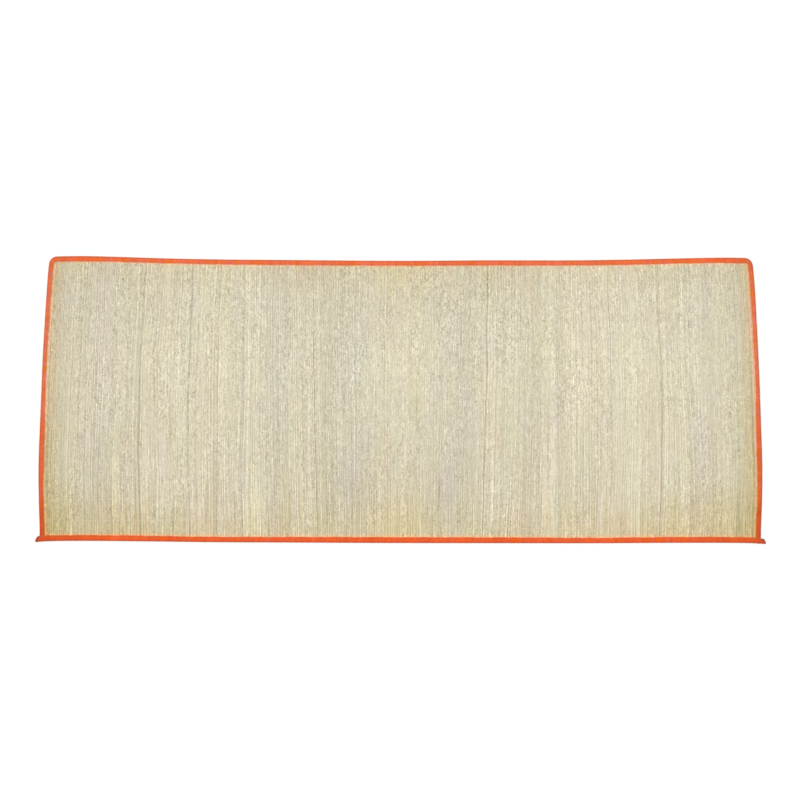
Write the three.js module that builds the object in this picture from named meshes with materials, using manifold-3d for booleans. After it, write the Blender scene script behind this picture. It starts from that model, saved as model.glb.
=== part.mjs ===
import * as THREE from "three";
import { mergeVertices } from "three/addons/utils/BufferGeometryUtils.js";
import Module from "manifold-3d";

// Beach mat of woven rush, lying flat, bound all round with folded cotton tape.
// Millimetres. X runs along the mat, Y across it and Z up. The origin is the
// middle of the footprint, on the floor.

// Heights of the layers above the floor
const BOUND_HEIGHT = 3.0;
const TAPE_CLOTH = 0.5;
const CLEARANCE = 0.3;
const PANEL_HEIGHT = 2.6;
const BORDER_LOW = 0.8;
const BORDER_HIGH = 2.2;

// The panel's border ends this far inside the fold of the tape
const BORDER_INSET = 1.2;
// Where the woven part thins down to its border beside the tape
const SHOULDER_RUN = 1.5;
const SHOULDER_DROP = 0.6;

// Plan radius of the tape's fold at the two top corners
const CORNER_RADIUS = 21;

// The side tape thins over this length before it goes under the bottom tape
const TUCK_RAMP = 4.0;
const TUCK_CLOTH = 0.45;

// Spacing of the sections along the tapes
const STEP_LONG = 50;
const CORNER_STEPS = 9;

// The mat's edge as it lies: the fold of the tape, and the tape's width there.
const LEFT_EDGE = [
  { y: 362, x: -888.4, width: 12.6 },
  { y: 330, x: -891.8, width: 12.3 },
  { y: 270, x: -894.2, width: 11.8 },
  { y: 200, x: -896.2, width: 11.2 },
  { y: 110, x: -898.2, width: 10.4 },
  { y: 20, x: -898.6, width: 10.2 },
  { y: -60, x: -899.0, width: 12.0 },
  { y: -150, x: -899.2, width: 13.3 },
  { y: -200, x: -897.9, width: 13.1 },
  { y: -260, x: -894.8, width: 13.2 },
  { y: -325, x: -890.6, width: 13.9 },
  { y: -365, x: -889.4, width: 13.9 },
];

const RIGHT_EDGE = [
  { y: 362, x: 889.4, width: 12.6 },
  { y: 330, x: 893.7, width: 12.4 },
  { y: 270, x: 896.3, width: 12.2 },
  { y: 200, x: 897.6, width: 11.1 },
  { y: 110, x: 898.9, width: 10.5 },
  { y: 20, x: 899.4, width: 10.3 },
  { y: -60, x: 899.2, width: 12.4 },
  { y: -150, x: 899.0, width: 13.1 },
  { y: -200, x: 897.6, width: 13.1 },
  { y: -260, x: 894.6, width: 13.0 },
  { y: -325, x: 889.8, width: 13.9 },
  { y: -365, x: 888.0, width: 13.9 },
];

const TOP_EDGE = [
  { x: -900, y: 361.2, width: 13.2 },
  { x: -812, y: 362.75, width: 13.2 },
  { x: -736, y: 361.3, width: 12.6 },
  { x: -590, y: 356.6, width: 12.5 },
  { x: -450, y: 353.9, width: 12.7 },
  { x: -280, y: 352.5, width: 13.0 },
  { x: 0, y: 350.4, width: 12.5 },
  { x: 220, y: 351.7, width: 12.4 },
  { x: 430, y: 351.6, width: 12.3 },
  { x: 560, y: 353.3, width: 12.7 },
  { x: 700, y: 356.5, width: 12.9 },
  { x: 812, y: 358.6, width: 13.3 },
  { x: 900, y: 357.4, width: 13.6 },
];

const BOTTOM_EDGE = [
  { x: -900.6, y: -357.7, width: 3.2, height: 2.2 },
  { x: -899.6, y: -357.8, width: 6.2, height: 2.2 },
  { x: -897.0, y: -357.9, width: 11.0, height: 2.3 },
  { x: -893.4, y: -358.0, width: 13.9, height: 2.6 },
  { x: -889.5, y: -357.2, width: 14.2, height: 3.0 },
  { x: -863, y: -355.9, width: 14.5, height: 3.0 },
  { x: -789, y: -355.1, width: 14.6, height: 3.0 },
  { x: -650, y: -356.2, width: 14.4, height: 3.0 },
  { x: -470, y: -358.3, width: 13.5, height: 3.0 },
  { x: -250, y: -359.4, width: 14.2, height: 3.0 },
  { x: 0, y: -360.5, width: 14.7, height: 3.0 },
  { x: 321, y: -360.9, width: 14.3, height: 3.0 },
  { x: 480, y: -361.0, width: 13.4, height: 3.0 },
  { x: 650, y: -360.1, width: 14.5, height: 3.0 },
  { x: 789, y: -360.0, width: 14.7, height: 3.0 },
  { x: 863, y: -360.8, width: 14.3, height: 3.0 },
  { x: 888.5, y: -362.4, width: 13.2, height: 3.0 },
  { x: 893.4, y: -362.7, width: 13.0, height: 2.6 },
  { x: 897.0, y: -362.75, width: 10.6, height: 2.3 },
  { x: 899.6, y: -362.7, width: 6.2, height: 2.2 },
  { x: 900.6, y: -362.6, width: 2.9, height: 2.2 },
];

// Furrows between bundles of rush, across the mat from edge to edge. Each is cut
// on both halves of the mat, as far out from the middle as its row says, leaning
// outward up the mat by its lean and swaying about that line.
const FURROW_WIDTH = 1.8;
const FURROW_DEPTH = 0.6;
const FURROWS = [
  { out: 145.5, lean: 0.004, sway: 1.5, turn: 0.4 },
  { out: 214.4, lean: 0.026, sway: 0.6, turn: 1.0 },
  { out: 394.5, lean: 0.002, sway: 1.6, turn: 4.1 },
  { out: 458.3, lean: 0.004, sway: 1.2, turn: 0.2 },
  { out: 528.0, lean: 0.01, sway: 2.3, turn: 2.0 },
  { out: 651.3, lean: 0.006, sway: 2.0, turn: 1.9 },
];

const RUSH_COLOUR = 0xd7cfb3;
const TAPE_COLOUR = 0xe46a3d;

// Reads one column of an edge table at a place along it, with a smooth curve
// through the rows.
function readEdge(table, along, column, at) {
  const rows = table[0][along] < table[table.length - 1][along] ? table : [...table].reverse();
  const last = rows.length - 1;
  const place = Math.min(Math.max(at, rows[0][along]), rows[last][along]);
  let i = 0;
  while (i < last - 1 && rows[i + 1][along] < place) {
    i += 1;
  }
  const slope = (k) => {
    const a = rows[Math.max(k - 1, 0)];
    const b = rows[Math.min(k + 1, last)];
    return (b[column] - a[column]) / (b[along] - a[along]);
  };
  const span = rows[i + 1][along] - rows[i][along];
  const t = (place - rows[i][along]) / span;
  const t2 = t * t;
  const t3 = t2 * t;
  return (
    (2 * t3 - 3 * t2 + 1) * rows[i][column] +
    (t3 - 2 * t2 + t) * span * slope(i) +
    (3 * t2 - 2 * t3) * rows[i + 1][column] +
    (t3 - t2) * span * slope(i + 1)
  );
}

// A place on the fold of a tape: its point, the way out of the mat there, and the tape's width.
function sideStation(table, y, out) {
  const x = readEdge(table, "y", "x", y);
  const lean = (readEdge(table, "y", "x", y + 2) - readEdge(table, "y", "x", y - 2)) / 4;
  const normal = new THREE.Vector2(out, -out * lean).normalize();
  return { point: new THREE.Vector2(x, y), normal, width: readEdge(table, "y", "width", y) };
}

function endStation(table, x, out) {
  const y = readEdge(table, "x", "y", x);
  const lean = (readEdge(table, "x", "y", x + 2) - readEdge(table, "x", "y", x - 2)) / 4;
  const normal = new THREE.Vector2(-out * lean, out).normalize();
  return { point: new THREE.Vector2(x, y), normal, width: readEdge(table, "x", "width", x) };
}

function spread(from, to, step) {
  const count = Math.max(1, Math.round(Math.abs(to - from) / step));
  return Array.from({ length: count + 1 }, (_, i) => from + ((to - from) * i) / count);
}

// The centre of the rounded corner between a side and the top edge.
function cornerCentre(side, out) {
  let x = out * (888 - CORNER_RADIUS);
  let y = 360 - CORNER_RADIUS;
  for (let i = 0; i < 4; i += 1) {
    x = readEdge(side, "y", "x", y) - out * CORNER_RADIUS;
    y = readEdge(TOP_EDGE, "x", "y", x) - CORNER_RADIUS;
  }
  return new THREE.Vector2(x, y);
}

function cornerStations(side, out) {
  const centre = cornerCentre(side, out);
  const a = sideStation(side, centre.y, out);
  const b = endStation(TOP_EDGE, centre.x, 1);
  const from = Math.atan2(a.normal.y, a.normal.x);
  const to = Math.atan2(b.normal.y, b.normal.x);
  return Array.from({ length: CORNER_STEPS + 1 }, (_, i) => {
    const t = i / CORNER_STEPS;
    const angle = from + (to - from) * t;
    const normal = new THREE.Vector2(Math.cos(angle), Math.sin(angle));
    const point = centre.clone().addScaledVector(normal, CORNER_RADIUS);
    return { point, normal, width: a.width + (b.width - a.width) * t };
  });
}

// How high the bottom tape reaches over the corner where a side tape goes under it.
function tuckHeights(side) {
  const x = readEdge(side, "y", "x", -350);
  const fold = readEdge(BOTTOM_EDGE, "x", "y", x);
  const inner = fold + readEdge(BOTTOM_EDGE, "x", "width", x);
  return { end: fold + BORDER_INSET, flat: inner + CLEARANCE, full: inner + CLEARANCE + TUCK_RAMP };
}

// The run of tape up one side, round both top corners and down the other side.
function upperRun() {
  const stations = [];
  const leftTuck = tuckHeights(LEFT_EDGE);
  const rightTuck = tuckHeights(RIGHT_EDGE);
  const leftCorner = cornerCentre(LEFT_EDGE, -1);
  const rightCorner = cornerCentre(RIGHT_EDGE, 1);
  stations.push({ ...sideStation(LEFT_EDGE, leftTuck.end, -1), tucked: true });
  stations.push({ ...sideStation(LEFT_EDGE, leftTuck.flat, -1), tucked: true });
  for (const y of spread(leftTuck.full, leftCorner.y - 6, STEP_LONG)) {
    stations.push(sideStation(LEFT_EDGE, y, -1));
  }
  stations.push(...cornerStations(LEFT_EDGE, -1));
  for (const x of spread(leftCorner.x + 6, rightCorner.x - 6, STEP_LONG)) {
    stations.push(endStation(TOP_EDGE, x, 1));
  }
  stations.push(...cornerStations(RIGHT_EDGE, 1).reverse());
  for (const y of spread(rightCorner.y - 6, rightTuck.full, STEP_LONG)) {
    stations.push(sideStation(RIGHT_EDGE, y, 1));
  }
  stations.push({ ...sideStation(RIGHT_EDGE, rightTuck.flat, 1), tucked: true });
  stations.push({ ...sideStation(RIGHT_EDGE, rightTuck.end, 1), tucked: true });
  return stations;
}

// The run of tape along the bottom, past both corners.
function lowerRun() {
  const rows = BOTTOM_EDGE.map((row) => row.x);
  const firstLong = rows.findIndex((x) => x > -865);
  const lastLong = rows.findIndex((x) => x > 860);
  const places = [
    ...rows.slice(0, firstLong),
    ...spread(rows[firstLong], rows[lastLong], STEP_LONG),
    ...rows.slice(lastLong + 1),
  ];
  return places.map((x) => {
    const station = endStation(BOTTOM_EDGE, x, -1);
    station.normal = new THREE.Vector2(0, -1);
    station.height = readEdge(BOTTOM_EDGE, "x", "height", x);
    return station;
  });
}

// Section of the folded tape: the lower leg, round the fold, and the upper leg back.
function foldSection(width, low, high, cloth) {
  const outer = (high - low) / 2;
  const inner = outer - cloth;
  const middle = (low + high) / 2;
  const points = [new THREE.Vector2(-width, low)];
  for (let i = 0; i <= 6; i += 1) {
    const angle = -Math.PI / 2 + (Math.PI * i) / 6;
    points.push(new THREE.Vector2(-outer + outer * Math.cos(angle), middle + outer * Math.sin(angle)));
  }
  points.push(new THREE.Vector2(-width, high));
  points.push(new THREE.Vector2(-width, high - cloth));
  for (let i = 0; i <= 4; i += 1) {
    const angle = Math.PI / 2 - (Math.PI * i) / 4;
    points.push(new THREE.Vector2(-outer + inner * Math.cos(angle), middle + inner * Math.sin(angle)));
  }
  points.push(new THREE.Vector2(-width, low + cloth));
  return points;
}

// A closed body through one section per station, with its faces turned outward.
function sweepSections(stations, sections) {
  const ring = sections[0].length;
  const positions = [];
  const index = [];
  stations.forEach((station, i) => {
    for (const p of sections[i]) {
      const at = station.point.clone().addScaledVector(station.normal, p.x);
      positions.push(at.x, at.y, p.y);
    }
  });
  for (let i = 0; i < stations.length - 1; i += 1) {
    for (let k = 0; k < ring; k += 1) {
      const a = i * ring + k;
      const b = i * ring + ((k + 1) % ring);
      index.push(a, a + ring, b + ring, a, b + ring, b);
    }
  }
  const last = (stations.length - 1) * ring;
  const lid = (section, offset, turned) => {
    const way = Math.sign(THREE.ShapeUtils.area(section));
    for (const [a, b, c] of THREE.ShapeUtils.triangulateShape(section, [])) {
      const side = Math.sign(THREE.ShapeUtils.area([section[a], section[b], section[c]]));
      const forward = (side === way) !== turned;
      index.push(offset + a, offset + (forward ? b : c), offset + (forward ? c : b));
    }
  };
  lid(sections[0], 0, false);
  lid(sections[sections.length - 1], last, true);
  const geometry = new THREE.BufferGeometry();
  geometry.setAttribute("position", new THREE.Float32BufferAttribute(positions, 3));
  geometry.setIndex(index);
  return turnOutward(geometry);
}

// Reverses every face of a body that came out inside out.
function turnOutward(geometry) {
  const position = geometry.getAttribute("position");
  const index = geometry.getIndex().array;
  const a = new THREE.Vector3();
  const b = new THREE.Vector3();
  const c = new THREE.Vector3();
  let volume = 0;
  for (let i = 0; i < index.length; i += 3) {
    a.fromBufferAttribute(position, index[i]);
    b.fromBufferAttribute(position, index[i + 1]);
    c.fromBufferAttribute(position, index[i + 2]);
    volume += a.dot(b.cross(c));
  }
  if (volume < 0) {
    for (let i = 0; i < index.length; i += 3) {
      [index[i + 1], index[i + 2]] = [index[i + 2], index[i + 1]];
    }
  }
  geometry.computeVertexNormals();
  return geometry;
}

const wasm = await Module();
wasm.setup();

function toSolid(geometry) {
  const bare = geometry.clone();
  bare.deleteAttribute("normal");
  bare.deleteAttribute("uv");
  const merged = mergeVertices(bare, 1e-4);
  const vertProperties = new Float32Array(merged.getAttribute("position").array);
  const triVerts = new Uint32Array(merged.getIndex().array);
  return new wasm.Manifold(new wasm.Mesh({ numProp: 3, vertProperties, triVerts }));
}

function toGeometry(solid) {
  const mesh = solid.getMesh();
  const geometry = new THREE.BufferGeometry();
  geometry.setAttribute("position", new THREE.Float32BufferAttribute(mesh.vertProperties, 3));
  geometry.setIndex(new THREE.Uint32BufferAttribute(mesh.triVerts, 1));
  geometry.computeVertexNormals();
  return geometry;
}

function extrudePlan(points, low, high) {
  const shape = new THREE.Shape(points);
  const plate = new THREE.ExtrudeGeometry(shape, { depth: high - low, bevelEnabled: false });
  return plate.translate(0, 0, low);
}

function insetPoint(station, inset) {
  return station.point.clone().addScaledVector(station.normal, -inset);
}

// Where the woven part may begin and end along X beside the tucked ends of the side tapes.
function footLimits(upper) {
  const reach = (stations) => stations.map((s) => insetPoint(s, s.width + CLEARANCE).x);
  return { left: Math.max(...reach(upper.slice(0, 3))), right: Math.min(...reach(upper.slice(-3))) };
}

// Plan of the full-height woven part, just inside the inner edge of the tapes.
function wovenPlan(upper, lower) {
  const points = upper
    .filter((station) => !station.tucked)
    .map((station) => insetPoint(station, station.width + CLEARANCE));
  const { left, right } = footLimits(upper);
  const foot = lower
    .filter((station) => station.point.x > left + 12 && station.point.x < right - 12)
    .map((station) => insetPoint(station, station.width + CLEARANCE));
  const cornerAt = (x) => {
    const station = endStation(BOTTOM_EDGE, x, -1);
    return new THREE.Vector2(x, station.point.y + station.width + CLEARANCE);
  };
  return [...points, cornerAt(right), ...foot.reverse(), cornerAt(left)];
}

// Plan of the flattened border inside the folds, with a notch at each bottom
// corner for the tucked ends of the side tapes.
function borderPlan(upper, lower) {
  const notch = 1.5;
  const run = upper.filter((station) => !station.tucked);
  const points = run.map((station) => insetPoint(station, BORDER_INSET));
  const { left, right } = footLimits(upper);
  points[0].y += notch;
  points[points.length - 1].y += notch;
  const foot = lower
    .filter((station) => station.point.x > left + 12 && station.point.x < right - 12)
    .map((station) => insetPoint(station, BORDER_INSET));
  const footY = (x) => readEdge(BOTTOM_EDGE, "x", "y", x) + BORDER_INSET;
  return [
    ...points,
    new THREE.Vector2(right, points[points.length - 1].y),
    new THREE.Vector2(right, footY(right)),
    ...foot.reverse(),
    new THREE.Vector2(left, footY(left)),
    new THREE.Vector2(left, points[0].y),
  ];
}

function furrowCutter(furrow, side) {
  const left = [];
  const right = [];
  for (const y of spread(-390, 390, 60)) {
    const out = furrow.out + furrow.lean * y + furrow.sway * Math.sin(y / 95 + furrow.turn);
    left.push(new THREE.Vector2(side * out - FURROW_WIDTH / 2, y));
    right.push(new THREE.Vector2(side * out + FURROW_WIDTH / 2, y));
  }
  return extrudePlan([...right, ...left.reverse()], PANEL_HEIGHT - FURROW_DEPTH, PANEL_HEIGHT + 2);
}

function wovenPanel(upper, lower) {
  const middle = new THREE.ExtrudeGeometry(new THREE.Shape(wovenPlan(upper, lower)), {
    depth: PANEL_HEIGHT - 2 * SHOULDER_DROP,
    bevelEnabled: true,
    bevelThickness: SHOULDER_DROP,
    bevelSize: SHOULDER_RUN,
    bevelOffset: -SHOULDER_RUN,
    bevelSegments: 1,
  }).translate(0, 0, SHOULDER_DROP);
  let panel = toSolid(middle);
  // The furrows cut only the woven part, so the border stays whole.
  for (const furrow of FURROWS) {
    for (const side of [-1, 1]) {
      panel = panel.subtract(toSolid(furrowCutter(furrow, side)));
    }
  }
  const border = extrudePlan(borderPlan(upper, lower), BORDER_LOW, BORDER_HIGH);
  return toGeometry(panel.add(toSolid(border)));
}

function upperBinding(upper) {
  const sections = upper.map((station) =>
    station.tucked
      ? foldSection(station.width, BORDER_LOW, BORDER_HIGH, TUCK_CLOTH)
      : foldSection(station.width, 0, BOUND_HEIGHT, TAPE_CLOTH)
  );
  return sweepSections(upper, sections);
}

function lowerBinding(lower) {
  const sections = lower.map((station) => foldSection(station.width, 0, station.height, TAPE_CLOTH));
  return sweepSections(lower, sections);
}

function namedMesh(name, geometry, color, roughness) {
  const material = new THREE.MeshStandardMaterial({ color, roughness, metalness: 0 });
  const mesh = new THREE.Mesh(geometry, material);
  mesh.name = name;
  return mesh;
}

function beachMat() {
  const upper = upperRun();
  const lower = lowerRun();
  const group = new THREE.Group();
  group.add(namedMesh("woven_panel", wovenPanel(upper, lower), RUSH_COLOUR, 0.82));
  group.add(namedMesh("binding_sides_top", upperBinding(upper), TAPE_COLOUR, 0.88));
  group.add(namedMesh("binding_bottom", lowerBinding(lower), TAPE_COLOUR, 0.88));
  return group;
}

export default beachMat();
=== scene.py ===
import math

import bpy
import numpy as np
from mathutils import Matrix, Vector


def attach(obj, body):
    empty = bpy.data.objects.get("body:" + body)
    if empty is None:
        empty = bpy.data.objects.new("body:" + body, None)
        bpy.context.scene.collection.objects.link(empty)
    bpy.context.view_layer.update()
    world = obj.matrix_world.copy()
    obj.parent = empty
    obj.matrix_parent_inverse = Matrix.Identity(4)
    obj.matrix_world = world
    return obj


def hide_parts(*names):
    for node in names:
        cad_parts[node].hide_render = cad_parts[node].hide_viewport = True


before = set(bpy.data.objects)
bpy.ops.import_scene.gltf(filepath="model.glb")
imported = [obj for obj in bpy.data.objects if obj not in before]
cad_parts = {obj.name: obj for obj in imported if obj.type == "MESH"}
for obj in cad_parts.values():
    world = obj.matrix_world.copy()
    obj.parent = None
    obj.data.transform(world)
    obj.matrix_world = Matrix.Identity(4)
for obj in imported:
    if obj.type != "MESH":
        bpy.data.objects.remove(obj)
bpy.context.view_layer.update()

# Beach mat of woven rush, lying flat and bound with folded orange cloth tape.
# Sizes in the tables are in millimetres; everything made from them is in metres.
MM = 0.001
dice = np.random.default_rng(4107)

# The fold of the tape on each edge: the place along the edge, how far out the
# fold lies there, and the width of the tape.
EDGE_COLUMNS = ("along", "out", "width")
LEFT_EDGE = (
    (-365, -889.4, 13.9),
    (-325, -890.6, 13.9),
    (-260, -894.8, 13.2),
    (-200, -897.9, 13.1),
    (-150, -899.2, 13.3),
    (-60, -899.0, 12.0),
    (20, -898.6, 10.2),
    (110, -898.2, 10.4),
    (200, -896.2, 11.2),
    (270, -894.2, 11.8),
    (330, -891.8, 12.3),
    (362, -888.4, 12.6),
)
RIGHT_EDGE = (
    (-365, 888.0, 13.9),
    (-325, 889.8, 13.9),
    (-260, 894.6, 13.0),
    (-200, 897.6, 13.1),
    (-150, 899.0, 13.1),
    (-60, 899.2, 12.4),
    (20, 899.4, 10.3),
    (110, 898.9, 10.5),
    (200, 897.6, 11.1),
    (270, 896.3, 12.2),
    (330, 893.7, 12.4),
    (362, 889.4, 12.6),
)
TOP_EDGE = (
    (-900, 361.2, 13.2),
    (-812, 362.75, 13.2),
    (-736, 361.3, 12.6),
    (-590, 356.6, 12.5),
    (-450, 353.9, 12.7),
    (-280, 352.5, 13.0),
    (0, 350.4, 12.5),
    (220, 351.7, 12.4),
    (430, 351.6, 12.3),
    (560, 353.3, 12.7),
    (700, 356.5, 12.9),
    (812, 358.6, 13.3),
    (900, 357.4, 13.6),
)
BOTTOM_EDGE = (
    (-900.6, -357.7, 3.2),
    (-899.6, -357.8, 6.2),
    (-897.0, -357.9, 11.0),
    (-893.4, -358.0, 13.9),
    (-889.5, -357.2, 14.2),
    (-863, -355.9, 14.5),
    (-789, -355.1, 14.6),
    (-650, -356.2, 14.4),
    (-470, -358.3, 13.5),
    (-250, -359.4, 14.2),
    (0, -360.5, 14.7),
    (321, -360.9, 14.3),
    (480, -361.0, 13.4),
    (650, -360.1, 14.5),
    (789, -360.0, 14.7),
    (863, -360.8, 14.3),
    (888.5, -362.4, 13.2),
    (893.4, -362.7, 13.0),
    (897.0, -362.75, 10.6),
    (899.6, -362.7, 6.2),
    (900.6, -362.6, 2.9),
)

BOUND_HEIGHT = 3.0
TAPE_CLOTH = 0.5
# The cloth's fold lies this much inside the line of the tables
FOLD_INSET = 0.4
BORDER_INSET = 1.2
CORNER_RADIUS = 21.0
TAPE_STEP = 4

# Rows of paired cotton threads that tie the stems, as heights across the mat
THREAD_ROWS = (295.7, 250.5, 198.5, 148.0, 96.5, 45.5, -3.0, -53.5, -105.5, -153.0, -202.0, -253.5, -303.8)
THREAD_RADIUS = 0.31
THREAD_SPACING = 1.0
# How much painted shade darkens the stems in the dip under a row of threads, by height across the mat
ROW_SHADE = ((-60, 0.008), (-3, 0.04), (50, 0.028), (300, 0.026))

# Furrows between bundles of stems, the same on both halves of the mat: how far out from
# the middle, how far they lean outward up the mat, their sway about that line, and how
# deep they are in the upper and in the lower part, which also sets how dark their deepest stem is painted
FURROW_COLUMNS = ("out", "lean", "sway", "turn", "upper", "lower")
FURROWS = (
    (145.5, 0.016, 1.5, 0.4, 0.35, 0.15),
    (214.4, 0.026, 0.6, 1, 1.4, 1.6),
    (334, 0.02, 1.6, 1, 0.1, 0.1),
    (394.5, 0.002, 1.6, 4.1, 0.8, 0.75),
    (458.3, 0.004, 1.2, 0.2, 0.65, 0.75),
    (528, 0.01, 2.3, 2, 1.2, 0.85),
    (606, 0.005, 4.5, 0.7, 0.36, 0.5),
    (651.3, 0.006, 2, 1.9, 0.9, 1.5),
    (722, 0, 4, 4, 0.15, 0.15),
    (878.2, 0, 0, 0, 0.3, 0.95),
    (880.6, 0, 0, 0, 0.25, 1.25),
    (883.2, 0, 0, 0, 0, 0.25),
)

STEM_PITCH = 2.5
STEM_SIDES = 6
STEM_OVERLAP = 1.11
STEM_HALF_HEIGHT = 0.98
# How high the middle of a stem lies, in the open and under the tape
STEM_MIDDLE = 1.3
BORDER_MIDDLE = 1.5
# Rings of a stem beside and under the tape, at each end
END_RINGS = 4
PANEL_RUNS = 24

# Bundles of paler stems, one on each half of the mat: how far out, half their width, how much paler
PALE_BUNDLES = (
    (227.5, 4, 0.06),
    (380, 5, 0.06),
    (446, 4, 0.04),
    (514, 3, 0.04),
    (585, 4, 0.04),
    (640, 4, 0.05),
    (663, 3, 0.05),
    (708, 4, 0.05),
    (798, 3, 0.04),
    (813, 4, 0.07),
)

# Broad changes of colour over the woven panel. Each patch is centred at x, y, fades out over
# its half sizes, and shifts red, green and blue by these percentages. A patch left of the
# middle is also laid right of it.
PATCH_COLUMNS = ("x", "y", "half_x", "half_y", "red", "green", "blue")
PATCHES = (
    (-878, -60, 18, 900, 0, -11, -24),
    (-885, -330, 70, 260, -5, -6, -17),
    (-870, 300, 55, 130, -6, -7, -9),
    (-740, -340, 130, 110, -4, -5, -10),
    (-745, 0, 34, 700, -3, -2.5, 0),
    (-545, 60, 85, 500, 3, 3, 3),
    (-440, 70, 25, 250, 5, 5, 4),
    (-309, -250, 13, 150, -5, -8, -8),
    (-358, -280, 15, 80, 10, 8.5, 9),
    (-112, -250, 38, 110, -5.5, -5, -4.5),
    (-318, 60, 34, 300, -3, -2.5, 0),
    (-280, 335, 85, 50, -4, -5, -4),
    (-236, 0, 24, 700, 1, 1, 1),
    (-126, 0, 50, 700, -3, -2.5, 1),
    (0, 70, 640, 170, 3, 3.5, 3),
    (0, 0, 48, 800, 3, 3, 2),
    (0, -330, 90, 110, 0, -2, -11),
    (0, 330, 130, 90, 0, -2, -10),
    (0, 350, 2000, 55, 0, -3, -12),
    (0, -345, 2000, 75, -2, -6, -17),
    (-650, -350, 230, 50, -3, -7.5, -12),
    (-834, -345, 11, 60, -14, -13, -16),
    (-770, -265, 100, 36, -4.5, -7.5, -12),
    (-850, -60, 14, 420, -4.5, -4.5, -7),
    (-222, 330, 20, 50, -6, -8, -9),
    (-177, 0, 26, 700, -3.5, -3.5, -4),
    (-815, 110, 9, 260, -5, -4.5, -7),
    (-705, -230, 14, 130, 6, 5, 4),
    (-638, -200, 14, 160, 4.5, 4.5, 5),
    (-755, 315, 70, 45, -4.5, -5, -3.5),
    (-560, 330, 28, 34, -5, -6.5, -5),
    (-480, -270, 24, 90, -3, -6, -8),
    (-743, 75, 24, 110, 6.5, 6, 6),
    (-748, -160, 26, 80, -6, -6, -8),
    (-570, 80, 45, 90, 4, 5.5, 6),
    (-447, 100, 22, 90, 3, 4.5, 6),
    (-450, -225, 24, 80, -5, -5.5, -5.5),
    (-293, 50, 20, 170, 2, 3.5, 5),
    (-50, 85, 50, 60, 4, 4.5, 4.5),
    (-80, -220, 90, 90, -2.5, -3.5, -3),
    (878, -60, 6, 200, -10, -9, -10),
)

RUSH_COLOUR = (0.666, 0.617, 0.475)
TONE_POWERS = (1.0, 1.04, 1.22)
# Duller, browner and paler kinds of stem: the share of the stems from and up to which each
# kind goes, and its tint
STEM_KINDS = (
    (0, 0.16, (0.98, 0.99, 0.965)),
    (0.16, 0.26, (0.94, 0.915, 0.89)),
    (0.26, 0.36, (1.045, 1.045, 1.05)),
)
TAPE_COLOUR = (0.765, 0.136, 0.040)
THREAD_COLOUR = (0.80, 0.77, 0.65)
# Shares by which the tape's dye shifts the red, green and blue of the stems beside it, by height
STAIN_COLUMNS = ("place", "red", "green", "blue")
TAPE_STAIN = (
    (-336, 0.34, -0.07, -0.20),
    (-326, 0.22, -0.07, -0.20),
    (-280, 0.18, -0.07, -0.20),
    (-200, 0.22, -0.07, -0.20),
    (-120, 0.28, -0.07, -0.19),
    (0, 0.26, -0.08, -0.19),
    (200, 0.27, -0.08, -0.19),
    (320, 0.32, -0.07, -0.20),
    (332, 0.34, -0.07, -0.20),
)
# How far the dye reaches onto the stems from the side tapes, and from the top and bottom tapes
SIDE_REACH, END_REACH = 6.5, 8.0
# How each stem's own tone changes along it: by which share, over which length, and how much
# its neighbours are held apart from it
OWN_TONES = ((0.034, 2000, 0.45), (0.046, 130, 0.25), (0.03, 42, 0.25))
# How strong the differences between neighbouring stems are, by height across the mat
STREAK_STRENGTH = ((-340, 1.5), (-220, 1.3), (-140, 0.95), (-80, 0.76), (180, 0.74), (320, 0.82))


def column(table, columns, name):
    return np.array([row[columns.index(name)] for row in table], float)


def read_edge(table, name, at):
    """Reads a column of an edge table at the places given, on a smooth curve through its rows."""
    along = column(table, EDGE_COLUMNS, "along")
    values = column(table, EDGE_COLUMNS, name)
    at = np.clip(np.asarray(at, float), along[0], along[-1])
    i = np.clip(np.searchsorted(along, at, side="left") - 1, 0, len(along) - 2)
    before = np.maximum(np.arange(len(along)) - 1, 0)
    after = np.minimum(np.arange(len(along)) + 1, len(along) - 1)
    slope = (values[after] - values[before]) / (along[after] - along[before])
    span = along[i + 1] - along[i]
    t = (at - along[i]) / span
    return (
        (2 * t**3 - 3 * t**2 + 1) * values[i]
        + (t**3 - 2 * t**2 + t) * span * slope[i]
        + (3 * t**2 - 2 * t**3) * values[i + 1]
        + (t**3 - t**2) * span * slope[i + 1]
    )


def ease(t):
    t = np.clip(t, 0, 1)
    return t * t * (3 - 2 * t)


def ripple(at, waves):
    """A sum of sines over the places given. Each wave is its length, its height and its turn."""
    return sum(height * np.sin(at * 2 * math.pi / length + turn) for length, height, turn in waves)


def soft_field(x, y, step_x, step_y, seed):
    """Smooth random values from -1 to 1 over the mat, that change over the steps given."""
    grid = np.random.default_rng(seed).uniform(-1, 1, (int(1900 / step_x) + 3, int(800 / step_y) + 3))
    across, along = (x + 950) / step_x, (y + 400) / step_y
    i, j = np.floor(across).astype(int), np.floor(along).astype(int)
    s, t = ease(across - i), ease(along - j)
    near = grid[i, j] * (1 - s) + grid[i + 1, j] * s
    far = grid[i, j + 1] * (1 - s) + grid[i + 1, j + 1] * s
    return near * (1 - t) + far * t


def stacked(*axes):
    """Points from their axes, which may have any shapes that fit together."""
    return np.stack(np.broadcast_arrays(*axes), -1)


# Meshes


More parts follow.
